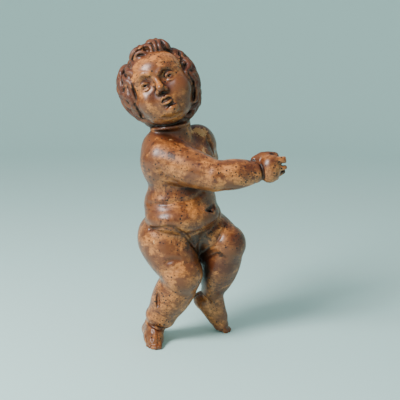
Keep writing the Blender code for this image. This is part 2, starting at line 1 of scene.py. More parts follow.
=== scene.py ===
import bpy
import numpy as np
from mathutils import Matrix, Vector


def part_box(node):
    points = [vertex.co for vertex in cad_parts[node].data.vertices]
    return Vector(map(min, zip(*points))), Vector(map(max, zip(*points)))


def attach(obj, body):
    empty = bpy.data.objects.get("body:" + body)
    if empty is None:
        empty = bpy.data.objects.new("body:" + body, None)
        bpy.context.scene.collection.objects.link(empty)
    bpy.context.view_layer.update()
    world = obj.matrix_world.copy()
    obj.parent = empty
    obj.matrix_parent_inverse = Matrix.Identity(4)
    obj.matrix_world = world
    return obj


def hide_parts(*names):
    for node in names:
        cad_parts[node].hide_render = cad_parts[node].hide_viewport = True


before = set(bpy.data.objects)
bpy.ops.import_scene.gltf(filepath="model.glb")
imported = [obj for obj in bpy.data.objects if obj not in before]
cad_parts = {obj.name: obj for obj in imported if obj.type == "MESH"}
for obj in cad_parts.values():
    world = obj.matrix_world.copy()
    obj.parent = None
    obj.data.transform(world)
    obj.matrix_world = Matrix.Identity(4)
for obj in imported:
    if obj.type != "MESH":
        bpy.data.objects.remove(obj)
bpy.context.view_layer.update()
for obj in bpy.context.selected_objects:
    obj.select_set(False)


# Torso. The putto is carved from one block of soft wood, so every form is a hill or a hollow of
# one surface, kept as a distance from it. Plump forms are joined with soft seams, which are the
# rolls of fat between chest, belly and hips. DRAWN_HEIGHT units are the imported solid's height.
DRAWN_HEIGHT = 564.0
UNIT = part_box("putto_figure")[1].z / DRAWN_HEIGHT


def vec(*v):
    return np.array(v, float)


def unit(v):
    v = np.array(v, float)
    return v / np.linalg.norm(v)


def rot(axis, degrees):
    """Turn matrix about an axis."""
    x, y, z = unit(axis)
    t = np.radians(degrees)
    k = np.array([[0, -z, y], [z, 0, -x], [-y, x, 0]])
    return np.eye(3) + np.sin(t) * k + (1 - np.cos(t)) * k @ k


def ball(p, c, r):
    return np.sqrt((p[0] - c[0])**2 + (p[1] - c[1])**2 + (p[2] - c[2])**2) - r


def local(p, centre, turn):
    """The same points read along the columns of a turn matrix."""
    d = [p[i] - centre[i] for i in range(3)]
    return [d[0] * turn[0, j] + d[1] * turn[1, j] + d[2] * turn[2, j] for j in range(3)]


def egg(p, centre, radii, turn=None):
    """Ellipsoid."""
    q = [p[i] - centre[i] for i in range(3)] if turn is None else local(p, centre, turn)
    a = np.sqrt((q[0] / radii[0])**2 + (q[1] / radii[1])**2 + (q[2] / radii[2])**2)
    b = np.sqrt((q[0] / radii[0]**2)**2 + (q[1] / radii[1]**2)**2 + (q[2] / radii[2]**2)**2)
    return a * (a - 1) / np.maximum(b, 1e-9)


def limb(p, a, b, ra, rb, bulge=0.0):
    """Round tapered limb from a to b, fuller in the middle by bulge."""
    d = np.subtract(b, a).astype(float)
    t = (p[0] - a[0]) * d[0] + (p[1] - a[1]) * d[1] + (p[2] - a[2]) * d[2]
    t = np.clip(t / d.dot(d), 0, 1)
    r = ra + (rb - ra) * t + 4 * bulge * t * (1 - t)
    x, y, z = (p[i] - a[i] - d[i] * t for i in range(3))
    return np.sqrt(x * x + y * y + z * z) - r


def chain(p, points, radii):
    """Tapered tube through a row of points."""
    d = None
    for i in range(len(points) - 1):
        e = limb(p, points[i], points[i + 1], radii[i], radii[i + 1])
        d = e if d is None else np.minimum(d, e)
    return d


def join(a, b, k):
    """Union with a soft seam about k wide."""
    h = np.maximum(k - np.abs(a - b), 0) / k
    return np.minimum(a, b) - h * h * k * 0.25


def carve(a, b, k):
    """Cut b out of a with a soft rim about k wide."""
    h = np.maximum(k - np.abs(a + b), 0) / k
    return np.maximum(a, -b) + h * h * k * 0.25


def where(d, p, centre, reach, form, k, how=join):
    """Join or carve a form only near it, which keeps the sums small."""
    near = np.nonzero(sum((p[i] - centre[i])**2 for i in range(3)) < reach**2)[0]
    if len(near):
        d[near] = how(d[near], form([c[near] for c in p]), k)
    return d


def curve(points, n=4):
    """Points along a smooth curve through the given ones."""
    q = np.array(points, float)
    q = np.vstack([2 * q[0] - q[1], q, 2 * q[-1] - q[-2]])
    out = []
    for i in range(1, len(q) - 2):
        a, b, c, d = q[i - 1:i + 3]
        for t in np.linspace(0, 1, n, endpoint=False):
            out.append(0.5 * (2 * b + (c - a) * t + (2 * a - 5 * b + 4 * c - d) * t**2
                              + (3 * b - a - 3 * c + d) * t**3))
    out.append(q[-2])
    return np.array(out)


def onto(form, point, lift=0.0):
    """Point lift above a form's skin at the place nearest to the one given."""
    c = np.array(point, float)
    for _ in range(8):
        q = [c[i] + np.array([0, 1.0 * (i == 0), 1.0 * (i == 1), 1.0 * (i == 2)]) for i in range(3)]
        f = form(q)
        way = unit(f[1:] - f[0])
        c = c - way * f[0]
    return c + way * lift


def groove(d, p, points, radius, k):
    """Carve a crease along a curve that lies on the surface."""
    path = curve(points)
    n = len(path)
    r = radius * np.sin(np.pi * (0.08 + 0.84 * np.arange(n) / (n - 1)))**0.5
    mid = path.mean(0)
    reach = np.linalg.norm(path - mid, axis=1).max() + radius + 2 * k
    return where(d, p, mid, reach, lambda q: chain(q, path, r), k, carve)


PELVIS = rot((0, 0, 1), 38)
CHEST = rot((0, 0, 1), 46)
HIPS_AT = vec(-37, 14, 206)
CHEST_AT = vec(-38, 10, 328)


def stump(p):
    """Left shoulder, broken off rough below and behind."""
    d = join(ball(p, (-6, 40, 372), 34), limb(p, (1, 46, 361), (10, 60, 339), 29, 25), 10)
    way = unit((0.35, 0.55, -0.76))
    flat = sum((p[i] - (12, 60, 338)[i]) * way[i] for i in range(3)) - 6
    d = np.maximum(d, flat)
    for c in ((2, 58, 330), (22, 62, 338), (10, 74, 346)):
        d = carve(d, ball(p, c, 6), 3)
    return d


def torso(p):
    d = egg(p, (-37, 14, 214), (64, 54, 46), PELVIS)
    d = join(d, egg(p, (-36, 11, 264), (71, 58, 58), PELVIS), 22)
    d = join(d, egg(p, (-30, -1, 244), (74, 60, 37), PELVIS), 6)
    c = egg(p, CHEST_AT, (66, 50, 66), CHEST)
    c = join(c, ball(p, (-66, -20, 348), 40), 24)
    c = join(c, ball(p, (-72, -12, 370), 32), 10)
    c = join(c, egg(p, (1, 8, 338), (35, 22, 34), CHEST), 9)
    c = join(c, stump(p), 9)
    d = join(d, c, 14)
    for s in (-1, 1):
        d = join(d, ball(p, HIPS_AT + PELVIS @ vec(s * 29, 24, 0), 40), 7)
    return d


def torso_creases(d, p):
    navel = [vec(12, -36, 260), vec(25, -13, 262), vec(21, -23, 254), vec(12, -36, 260)]
    d = where(d, p, vec(20, -26, 259), 34, lambda q: chain(q, navel, (2, 3.4, 3.4, 2)), 3.5, carve)
    d = where(d, p, vec(20, -26, 259), 34, lambda q: ball(q, (22, -22, 256), 4), 2)
    spine = [CHEST_AT + CHEST @ vec(0, 40, 50), CHEST_AT + CHEST @ vec(0, 51, 2),
             vec(-38, 13, 270) + PELVIS @ vec(0, 60, 0), vec(-37, 14, 222) + PELVIS @ vec(0, 64, 0)]
    return groove(d, p, spine, 5, 12)


def neck(p):
    d = limb(p, (-48, 8, 385), (-57, 0, 440), 35, 33)
    return join(d, egg(p, (-54, -4, 408), (36, 36, 9), rot((0, 1, 0), -8)), 5)


# Legs and feet. The right leg carries the figure, the left one is drawn up and stands on its
# toes. Both are chubby rolls from the same block, parted by deep creases at knee and ankle.
def leg_right(p):
    d = limb(p, (-64, 2, 198), (-35, -22, 144), 51.5, 38, 3)
    d = join(d, ball(p, (-31, -28, 136), 33), 12)
    d = join(d, limb(p, (-36, -14, 122), (-73, 3, 52), 35, 25, 6), 6)
    return join(d, egg(p, (-75, 2, 46), (24.5, 24, 14), rot((0, 1, 0), 22)), 18)


def leg_left(p):
    d = limb(p, (-4, 34, 214), (49, 4, 191), 46, 34, 3)
    d = join(d, ball(p, (53, 0, 186), 29), 12)
    d = join(d, egg(p, (8, 18, 168), (17, 20, 24)), 8)
    d = join(d, limb(p, (44, 11, 170), (24, 42, 84), 36, 20, 7), 5)
    return join(d, egg(p, (24, 43, 84), (21, 21, 11), rot((0, 1, 0), 12)), 8)


def toes(p, roots, tips, sizes):
    """Row of short toes from the ball of the foot to tips that press flat on the ground."""
    d = None
    for (x, y), (u, v), r in zip(roots, tips, sizes):
        a, c = vec(x, y, 8), vec(u, v, r - 2)
        b = (a + c) / 2 + vec(0, 0, 1.5)
        toe = join(limb(p, a, b, r, r * 0.9), limb(p, b, c, r * 0.9, r), 1.5)
        d = toe if d is None else join(d, toe, 0.5)
    return d


def foot_right(p):
    d = egg(p, (-90, 22, 16), (22, 21, 18))
    d = join(d, limb(p, (-84, 6, 32), (-84, -28, 11), 21, 11.5), 12)
    d = join(d, egg(p, (-86, -15, 8), (18, 25, 11)), 8)
    d = join(d, egg(p, (-94, 2, 13), (13, 24, 14)), 8)
    roots = ((-75, -26), (-80, -28), (-86, -27), (-91, -24), (-96, -18))
    tips = ((-75, -43), (-81, -45.5), (-87, -43), (-92, -37.5), (-96.5, -30))
    return join(d, toes(p, roots, tips, (5.2, 4.6, 4.4, 4.2, 4)), 2)


def foot_left(p):
    d = ball(p, (3, 55, 64), 16)
    d = join(d, chain(p, (vec(14, 52, 60), vec(33, 53, 29), vec(42, 54, 14)), (21, 18, 12.5)), 8)
    d = join(d, egg(p, (40, 55, 11), (13, 18, 9.5)), 8)
    d = join(d, limb(p, (27, 42, 80), (40, 50, 30), 17, 13), 8)
    roots = ((41, 43), (44, 48), (45, 54), (44, 60), (42, 65))
    tips = ((50.5, 41), (55.5, 47.5), (57, 54.5), (56, 61), (53, 67))
    return join(d, toes(p, roots, tips, (5.2, 4.4, 4.2, 4, 3.8)), 2)


# Right arm and hand, carved across the chest from the same block. Two fingers are broken off
# short and one is tucked under, and the left arm is lost below the shoulder.
def arm(p):
    d = limb(p, (-64, -28, 352), (24, -64, 327), 39, 27.5, 2)
    return join(d, limb(p, (32, -66, 327), (94, -63, 333), 25, 19.5, 4.5), 7)


def hand(p):
    """Closed hand seen on its back: thumb on top, two broken fingers, one tucked under."""
    d = egg(p, (120.5, -62, 339), (18.5, 17, 25))
    d = join(d, egg(p, (125, -66, 340), (13, 13, 20)), 8)
    for a, b, ra, rb in (((124, -68, 354), (146.5, -66, 355.5), 7, 5.8),
                         ((126, -68, 344), (137, -66, 344), 5.5, 5),
                         ((124, -68, 338), (147, -66, 342), 5.5, 4),
                         ((122, -64, 325), (132, -60, 324), 6.5, 6),
                         ((129, -57, 325), (145, -53, 332.5), 6, 4.4)):
        d = join(d, limb(p, a, b, ra, rb), 2)
    thumb = (vec(97, -54, 352), vec(108, -51, 358.5), vec(119, -50, 360), vec(130, -52, 359.5))
    d = join(d, chain(p, thumb, (9, 8.5, 8, 7.5)), 7)
    d = carve(d, egg(p, (127, -61, 366), (8, 5, 3)), 1.5)
    d = np.maximum(d, (p[0] - 151) + 0.15 * (p[2] - 340))
    for c in ((131, -80, 349), (134, -79, 339), (134, -78, 333)):
        d = carve(d, ball(p, c, 2.6), 2)
    return d


# Face. It is cut in the head's own axes, x to the viewer's right, y to the back and z up, and
# then turned and tipped on the neck. Lids, lips and nostrils are crisp tool cuts in round forms.
HEAD_AT = vec(-71, -8, 480)
HEAD = rot((0, 1, 0), -19) @ rot((1, 0, 0), -13) @ rot((0, 0, 1), 5)
FACE_AT = vec(0, 0, 2)
FACE = rot((0, 1, 0), -8) @ rot((1, 0, 0), 5) @ rot((0, 0, 1), -4)


def face(q):
    d = egg(q, (0, 8, 4), (56, 60, 58))
    d = join(d, egg(q, (0, -24, 18), (44, 34, 34)), 14)
    for s in (-1, 1):
        d = join(d, ball(q, (s * 26, -31, -24), 23), 16)
    d = join(d, egg(q, (-2, -14, -37), (45, 39, 37)), 10)
    d = join(d, egg(q, (0, -44, -32), (18, 13, 15)), 9)
    for s, z in ((-1, 2.5), (1, 0)):
        d = carve(d, ball(q, (s * 21, -66, z + 2), 17.5), 6)
        d = carve(d, ball(q, (s * 12, -63.5, z + 1), 8), 6)
        z = 2.2 * z
        brow = curve([(s * 8, -56.5, z + 12), (s * 17, -54.5, z + 17),
                      (s * 27, -49.5, z + 14.5), (s * 37, -39, z + 6)], 3)
        d = join(d, chain(q, brow, np.linspace(2.8, 2.2, len(brow))), 5.5)
    return where(d, q, (2, -48, -50), 30, lambda z: ball(z, (2, -48, -50), 12.5), 3.5)


EYES = {-1: vec(-22, -40, 1.5), 1: vec(22, -40, -1)}
EYEBALL = 11.5


def eye_point(s, az, el, out):
    """Point out from the middle of an eye, az degrees towards the temple and el degrees up."""
    a, e = np.radians(az), np.radians(el)
    return EYES[s] + out * vec(s * np.sin(a) * np.cos(e), -np.cos(a) * np.cos(e), np.sin(e))


def eye(q, s):
    """Eyeball with a hollow pupil between two full lids."""
    d = ball(q, EYES[s], EYEBALL)
    d = carve(d, ball(q, eye_point(s, 2, 14, EYEBALL + 1.6), 4.2), 1)
    for angles, thin, full in ((((-52, -8), (-28, 16), (4, 28), (34, 19), (60, -12)), 1.3, 1.7),
                               (((-52, -8), (-18, -25), (20, -30), (60, -12)), 0.9, 0.6)):
        lid = curve([eye_point(s, az, el, EYEBALL + 0.9) for az, el in angles], 4)
        d = join(d, chain(q, lid, thin + full * np.sin(np.linspace(0, np.pi, len(lid)))), 1.6)
    return d


def nose(q):
    d = limb(q, (0, -52, 8), (0, -61, -11), 4.4, 5.6)
    d = join(d, ball(q, (0, -63.5, -13), 6.3), 5)
    for s in (-1, 1):
        d = join(d, ball(q, (s * 6.8, -58.5, -17.5), 4.7), 3)
    for s in (-1, 1):
        d = carve(d, ball(q, (s * 4.2, -62.5, -22), 3.1), 1.2)
    return d


LIPS_AT = -35.0


def mouth(d, q):
    z = LIPS_AT
    for s in (-1, 1):
        lip = curve([(0, -58.5, z + 5), (s * 3.5, -59, z + 6.3),
                     (s * 8, -56.5, z + 3.5), (s * 10.8, -53, z)], 3)
        d = join(d, chain(q, lip, np.linspace(2.6, 1.3, len(lip))), 1.5)
    lip = curve([(-9.5, -53.5, z - 2), (-5, -56.5, z - 4.6), (0, -57.5, z - 5.2),
                 (5, -56.5, z - 4.6), (9.5, -53.5, z - 2)], 3)
    d = join(d, chain(q, lip, 1.5 + 2.2 * np.sin(np.linspace(0, np.pi, len(lip)))), 2)
    slit = [(-9.5, -55, z - 1.2), (-5, -58, z + 0.6), (0, -59.5, z - 0.4), (5, -58, z + 0.6),
            (9.5, -55, z - 1.2)]
    d = carve(d, chain(q, [vec(*v) for v in slit], (0.8, 2.2, 2.6, 2.2, 0.8)), 1)
    d = carve(d, limb(q, (-7, -56.5, z - 10), (7, -56.5, z - 10), 2.2, 2.2), 5)
    return carve(d, limb(q, (0, -60.5, -21.5), (0, -61.5, z + 8.5), 1.2, 1.6), 2.5)


# Hair. A thick cap of wood, cut with a gouge into wavy locks of STRANDS ridges each that run
# from the crown to the neck, with rolled curls round the face and a forelock over the brow.
STRANDS = 2
RIDGE_LIFT = 2.4
RIDGE_FULLNESS = 1.08
STRAND_SPREAD = 0.75
STRAND_LIFT = 1.8
SCALP = vec(-3, 12, 4)


def hair_mass(q):
    d = egg(q, (0, 14, 1), (63, 63, 61))
    d = join(d, egg(q, (-48, 12, 12), (16, 33, 28)), 12)
    d = join(d, egg(q, (-46, -12, 6), (10, 20, 32)), 8)
    d = join(d, egg(q, (8, 18, -28), (48, 46, 36)), 14)
    d = join(d, egg(q, (-12, -20, 53), (19, 17, 14)), 8)
    return join(d, egg(q, (13, -14, 57), (20, 20, 14)), 8)


def on_scalp(az, el, lift):
    """Point lift above the mass of hair, seen from the middle of the skull."""
    a, e = np.radians(az), np.radians(el)
    way = np.array([np.cos(e) * np.sin(a), -np.cos(e) * np.cos(a), np.sin(e)])
    lo, hi = 20.0, 120.0
    for _ in range(14):
        mid = (lo + hi) / 2
        c = SCALP + way * mid
        inside = hair_mass([np.array([v]) for v in c])[0] < 0
        lo, hi = (mid, hi) if inside else (lo, mid)
    return SCALP + way * (lo + lift)


def comb(az, el, heading, length, wave, curl, lift=1.5, n=11):
    """Walk a lock over the hair: heading 0 goes to the viewer's right, 90 up; curl rolls up its end."""
    path = []
    step = length / (n - 1)
    for i in range(n):
        t = i / (n - 1)
        path.append(on_scalp(az, el, lift + 2.5 * np.sin(np.pi * t)))
        heading += (wave * np.cos(2 * np.pi * t) * 2 * np.pi + curl * 3 * t * t) / (n - 1)
        el += np.degrees(step * np.sin(np.radians(heading)) / 66)
        az += np.degrees(step * np.cos(np.radians(heading)) / (66 * max(np.cos(np.radians(el)), 0.3)))
    return np.array(path)


def lock_plan():
    """Azimuth, elevation, heading, length, wave, curl and width of every lock."""
    plan = []
    for i in range(11):
        a = 180 + 360 * i / 11
        plan.append((a, 80, -90, 24 if abs(a - 360) < 50 else 44, 20, 60 * (-1)**i, 19))
    for row, (e, n, first, last) in enumerate(((50, 13, 62, 298), (26, 14, 62, 298), (2, 14, 60, 300),
                                               (-22, 13, 64, 296), (-44, 10, 80, 280))):
        for i in range(n):
            a = first + (last - first) * (i + 0.5 * (row % 2)) / (n - 1)
            plan.append((a, e, -90 + 20 * (-1)**(i + row), 46, 22, 80 * (-1)**(i + row), 21))
    return plan


# Ridges of the locks round the face, in head axes, with their thickness
RIDGES = (
    # forelock, from the roll on the left over the ring to the hooks on the right
    ([(-40, -14, 44), (-33, -20, 58), (-25, -22, 70), (-14, -24, 74)], 4),
    ([(-33, -20, 52), (-22, -30, 60), (-10, -25, 68), (2, -22, 72), (11, -24, 68), (13, -31, 60),
      (12, -33, 52)], 3.4),
    ([(-14, -31, 62), (-5, -26, 68), (4, -30, 62), (5, -33, 55), (0, -35, 50)], 2.8),
    ([(-27, -31, 50), (-19, -34, 56), (-11, -36, 55), (-7, -36, 50), (-13, -36, 47)], 2.8),
    ([(0, -16, 77), (12, -20, 75), (20, -26, 67), (19, -32, 58), (21, -32, 50), (29, -26, 46)], 3.4),
    ([(14, -10, 77), (23, -18, 70), (27, -22, 62), (31, -22, 54), (38, -14, 48)], 3.4),
    ([(24, -8, 73), (34, -10, 64), (42, -8, 56), (54, 0, 49)], 4),
    ([(-41, -24, 38), (-31, -32, 44), (-20, -36, 49), (-9, -37, 45), (1, -37, 48), (11, -37, 44),
      (22, -34, 45)], 3),
    # rolls on the right side of the face
    ([(36, -10, 52), (43, -14, 40), (52, -6, 38), (60, 2, 42)], 3.2),
    ([(41, -18, 38), (45, -20, 29), (53, -14, 27), (61, -2, 32), (66, 6, 36)], 3.4),
    ([(43, -24, 24), (49, -20, 18), (57, -12, 19), (64, 0, 25)], 3),
    ([(46, -26, -8), (47, -27, 2), (54, -20, 7), (63, -4, 13), (70, 8, 17)], 3.4),
    ([(54, -16, 10), (58, -10, 2), (62, 0, -10), (60, 8, -24), (52, 0, -31)], 3.6),
    ([(47, -24, -6), (51, -20, -18), (53, -10, -30), (48, -6, -40)], 3),
    ([(68, 10, 0), (69, 12, -16), (66, 14, -30), (58, 18, -44)], 3.6),
    ([(46, -8, -38), (52, 10, -44), (52, 20, -54), (44, 24, -62)], 3.4),
    ([(42, -6, -50), (44, 14, -60), (38, 24, -68)], 3),
    # shells and hooks on the left side
    ([(-44, -30, 36), (-47, -30, 20), (-49, -32, 4), (-48, -30, -12), (-46, -22, -28)], 3.4),
    ([(-44, -4, 50), (-55, 0, 38), (-61, -14, 22), (-57, -22, 12), (-51, -24, 18), (-50, -18, 30)], 3.2),
    ([(-58, 6, 44), (-66, 2, 28), (-70, -6, 12), (-65, -14, 0), (-56, -24, 2), (-49, -26, 12)], 3.4),
    ([(-72, 4, 6), (-68, 0, -9), (-63, -4, -17), (-56, -14, -18), (-51, -21, -11), (-54, -23, -4)], 3.2),
    ([(-50, -26, 4), (-50, -24, -8), (-48, -20, -18), (-50, -12, -27)], 3),
    ([(-68, 8, -16), (-61, 14, -24), (-56, 18, -34), (-51, 14, -42), (-48, 2, -36)], 3.2),
    ([(-48, -12, -24), (-48, -2, -36), (-46, 8, -46), (-42, 20, -54)], 3),
    ([(-56, 22, -38), (-50, 25, -50), (-42, 25, -60)], 3.4),
    ([(-52, 24, 44), (-62, 26, 30), (-67, 28, 14), (-66, 30, -2)], 4.4),
    ([(-48, 12, 50), (-61, 14, 34), (-68, 16, 18)], 4.4),
    ([(-70, 18, 6), (-68, 24, -10), (-62, 28, -24)], 4.4),
)
RING_AT = (-4, -31, 59)
RING_RADIUS = 5.6


def make_locks(strands):
    locks = []
    for points, thick in RIDGES:
        path = np.array([onto(hair_mass, point, RIDGE_LIFT) for point in curve(points, 3)])
        t = np.linspace(0, 1, len(path))
        r = RIDGE_FULLNESS * thick * np.clip(1.15 * np.sin(np.pi * (0.12 + 0.76 * t))**0.5, 0.3, 1)
        mid = path.mean(0)
        locks.append((mid, np.linalg.norm(path - mid, axis=1).max() + 12, [(path, r)]))
    for lock in lock_plan():
        path = comb(*lock[:6])
        width = lock[6]
        run = np.gradient(path, axis=0)
        out = path - SCALP
        side = np.cross(run, out)
        side /= np.linalg.norm(side, axis=1)[:, None]
        out /= np.linalg.norm(out, axis=1)[:, None]
        t = np.linspace(0, 1, len(path))
        half = width / 2 * np.clip(1.1 * np.sin(np.pi * (0.1 + 0.88 * t))**0.6, 0.1, 1)
        rows = []
        for j in range(strands):
            u = 0 if strands == 1 else 2 * j / (strands - 1) - 1
            r = half * (0.72 if strands == 1 else 0.95 / strands + 0.05)
            strand = path + side * (u * half * STRAND_SPREAD)[:, None] + out * (STRAND_LIFT - u * u)
            rows.append((strand, r))
        mid = path.mean(0)
        locks.append((mid, np.linalg.norm(path - mid, axis=1).max() + width, rows))
    return locks


LOCKS = make_locks(STRANDS)


def hair(q):
    d = hair_mass(q)
    for mid, reach, rows in LOCKS:
        def lock(z, rows=rows):
            e = chain(z, *rows[0])
            for path, r in rows[1:]:
                e = join(e, chain(z, path, r), 1)
            return e
        d = where(d, q, mid, reach, lock, 1.5)
    d = carve(d, ball(q, RING_AT, RING_RADIUS), 1.5)
    return carve(d, egg(q, (-1, -66, -10), (53, 62, 59)), 3)


def head(p):
    q = local(p, HEAD_AT, HEAD)
    f = local(q, FACE_AT, FACE)
    d = join(face(f), nose(f), 4)
    for s in (-1, 1):
        d = where(d, f, EYES[s], 24, lambda z: eye(z, s), 1.2)
    d = mouth(d, f)
    return join(d, hair(q), 2)


# Whole figure: the parts are joined, then the creases, the gouge in the shin and the sawn
# soles are cut. The skin is drawn round the result and rubbed smooth.
CREASES = (
    # belly over the right thigh and down between the legs, belly over the left thigh
    ([(-90, -34, 225), (-75, -53, 231), (-56, -63, 235), (-42, -63, 232), (-29, -49, 219), (-16, -35, 201),
      (-5, -22, 181), (0, 3, 157)], 2.4, 5.5),
    ([(46, -8, 229), (41, -14, 218), (32, -20, 202), (21, -20, 189), (3, -4, 170)], 1.8, 5),
    ([(-29, -49, 219), (-14, -46, 216), (9, -36, 222), (30, -18, 234), (38, -8, 247)], 1.6, 7),
    # fold under the breast, armpit, wrist
    ([(-93, -30, 270), (-74, -46, 273), (-57, -51, 274), (-42, -50, 278), (-25, -46, 279), (-9, -37, 282),
      (5, -22, 289)], 1.0, 9),
    ([(-70, -65, 338), (-64, -63, 328), (-55, -62, 321), (-42, -62, 317)], 1.6, 8),
    ([(91, -62, 354), (102, -70, 349), (106, -74, 343), (108, -75, 331), (106, -68, 319)], 1.3, 3.5),
    # knees, ankles, and the tendon cut in the right foot
    ([(8, -8, 161), (18, -16, 168), (27, -23, 174), (36, -27, 176), (47, -28, 169)], 1.6, 4.5),
    ([(-59, -55, 169), (-48, -56, 173), (-37, -55, 172)], 1.2, 9),
    ([(-97, -8, 37), (-87, -20, 34), (-74, -24, 30), (-62, -16, 28)], 1.2, 3),
    ([(-11, 49, 69), (-3, 46, 77), (6, 31, 81), (18, 28, 71), (21, 32, 65)], 1.6, 3.5),
    ([(-87, -23, 29), (-87, -31, 21), (-88, -38, 11)], 1.6, 2),
    ([(-102, -18, 20), (-98, -35, 9)], 1.2, 2),
    ([(-78, -30, 22), (-77, -43, 8)], 1, 2),
    # gaps between the rolls of hair: beside both cheeks and on the right of the forelock
    ([(-14, -24, 490), (-12, -27, 478), (-10, -26, 466), (-12, -32, 454)], 3, 2),
    ([(-111, -45, 450), (-106, -42, 437), (-100, -26, 424)], 2.6, 2),
    ([(-42, 2, 541), (-37, -8, 531), (-32, -25, 521), (-28, -27, 509)], 2.6, 2),
    # edge of the broken shoulder, double chin
    ([(5, 24, 395), (16, 15, 378), (23, 16, 367), (27, 13, 351)], 2, 5),
    ([(-62, -59, 427), (-52, -57, 426), (-41, -55, 430), (-33, -52, 436)], 1.2, 7),
)
GOUGE_AT = (-78, -33, 91)
GOUGE_RADII = (5.4, 7.5, 17)


def body(p):
    d = join(torso(p), neck(p), 8)
    d = torso_creases(d, p)
    d = join(d, leg_right(p), 6)
    d = join(d, leg_left(p), 6)
    d = join(d, arm(p), 6)
    d = where(d, p, (125, -60, 340), 64, hand, 3)
    d = where(d, p, (-72, 0, 470), 125, head, 3)
    d = where(d, p, (-92, -10, 14), 74, foot_right, 3)
    return where(d, p, (23, 45, 32), 74, foot_left, 3)


CUTS = [([onto(body, point) for point in curve(points, 2)], radius, k) for points, radius, k in CREASES]


def figure(p):
    d = body(p)
    for points, radius, k in CUTS:
        d = groove(d, p, points, radius, k)
    d = where(d, p, GOUGE_AT, 26, lambda q: egg(q, GOUGE_AT, GOUGE_RADII), 1.2, carve)
    return np.maximum(d, -p[2])


GRID = 1.6
TRIANGLES = 190000
BLOCK = 6
LOW = (-170, -120, -12)
HIGH = (175, 120, 590)


def sample(step):
    """Values of the form on a grid, worked out only near its surface."""
    size = step * BLOCK
    n = [int(np.ceil((HIGH[i] - LOW[i]) / size)) for i in range(3)]
    mids = np.meshgrid(*[LOW[i] + (np.arange(n[i]) + 0.5) * size for i in range(3)], indexing="ij")
    c = [m.ravel() for m in mids]
    d = figure(c)
    reach = 1.1 * size + 2 * step
    grid = np.sign(d).reshape(n) * reach
    for axis in range(3):
        grid = np.repeat(grid, BLOCK, axis)
    near = np.flatnonzero(np.abs(d) < reach)
    o = (np.arange(BLOCK) + 0.5) * step - size / 2
    off = [m.ravel() for m in np.meshgrid(o, o, o, indexing="ij")]
    fine = figure([(c[i][near][:, None] + off[i]).ravel() for i in range(3)])
    fine = fine.reshape(len(near), BLOCK, BLOCK, BLOCK)
    for (i, j, k), block in zip(np.stack(np.unravel_index(near, n), 1) * BLOCK, fine):
        grid[i:i + BLOCK, j:j + BLOCK, k:k + BLOCK] = block
    return grid, np.array(LOW) + step / 2


def skin(grid, origin, step):
    """Closed skin of four-sided faces round the negative side of the grid."""
    solid = grid < 0
    n = solid.shape
    count = sum(solid[i:n[0] - 1 + i, j:n[1] - 1 + j, k:n[2] - 1 + k].astype(np.int8)
                for i in (0, 1) for j in (0, 1) for k in (0, 1))
    cell = (count > 0) & (count < 8)
    at = np.argwhere(cell)
    number = np.full(cell.shape, -1)
    number[cell] = np.arange(len(at))
    total = np.zeros((len(at), 3))
    crossings = np.zeros(len(at))
    faces = []
    for axis in range(3):
        u, v = [i for i in range(3) if i != axis]
        for a in (0, 1):
            for b in (0, 1):
                lo = np.zeros(3, int)
                lo[u], lo[v] = a, b
                hi = lo.copy()
                hi[axis] = 1
                f0 = grid[tuple((at + lo).T)]
                f1 = grid[tuple((at + hi).T)]
                cut = (f0 < 0) != (f1 < 0)
                where_cut = lo + np.zeros((cut.sum(), 3))
                where_cut[:, axis] += f0[cut] / (f0[cut] - f1[cut])
                total[cut] += where_cut
                crossings[cut] += 1
        below = [slice(None)] * 3
        above = [slice(None)] * 3
        below[axis] = slice(0, -1)
        above[axis] = slice(1, None)
        edge = np.argwhere(solid[tuple(below)] != solid[tuple(above)])
        eu = np.eye(3, dtype=int)[u]
        ev = np.eye(3, dtype=int)[v]
        quad = np.stack([number[tuple(c.T)] for c in (edge - eu - ev, edge - ev, edge, edge - eu)], 1)
        back = solid[tuple(edge.T)] == (axis == 1)
        quad[back] = quad[back][:, ::-1]
        faces.append(quad)
    return (at + total / crossings[:, None]) * step + origin, np.concatenate(faces)


def slope(p, h):
    """Which way the distance grows, at each point."""
    g = []
    for i in range(3):
        q = list(p)
        q[i] = p[i] + h
        r = list(p)
        r[i] = p[i] - h
        g.append((figure(q) - figure(r)) / (2 * h))
    return g


def settle(points, h, most, rounds):
    """Slide points onto the true surface of the form."""
    p = [points[:, i].copy() for i in range(3)]
    for _ in range(rounds):
        f = figure(p)
        g = slope(p, h)
        move = np.clip(f / np.maximum(g[0]**2 + g[1]**2 + g[2]**2, 0.1), -most, most)
        p = [p[i] - move * g[i] for i in range(3)]
    return np.stack(p, 1)


def bake(obj):
    """Turn the object's modifiers into plain mesh."""
    graph = bpy.context.evaluated_depsgraph_get()
    mesh = bpy.data.meshes.new_from_object(obj.evaluated_get(graph))
    obj.modifiers.clear()
    obj.data = mesh


points, faces = skin(*sample(GRID), GRID)
mesh = bpy.data.meshes.new("putto_carving")
mesh.from_pydata(points.tolist(), [], faces.tolist())
putto = bpy.data.objects.new("putto_carving", mesh)
bpy.context.scene.collection.objects.link(putto)
even = putto.modifiers.new("even", "REMESH")
even.mode = "VOXEL"
even.voxel_size = GRID * 0.9
bake(putto)
thin = putto.modifiers.new("thin", "DECIMATE")
thin.ratio = min(1.0, TRIANGLES / (2 * len(putto.data.polygons)))
thin.use_collapse_triangulate = True
bake(putto)
co = np.empty(len(putto.data.vertices) * 3)
putto.data.vertices.foreach_get("co", co)
co = settle(co.reshape(-1, 3), 0.3, GRID, 2)

# what the finish follows: hollows that keep dark wax and take painted shade, deep places that take painted
# shade, and ridges that are rubbed bare
spots = [co[:, i] for i in range(3)]
way = slope(spots, 0.6)
size = np.maximum(np.sqrt(way[0]**2 + way[1]**2 + way[2]**2), 0.1)
way = [g / size for g in way]


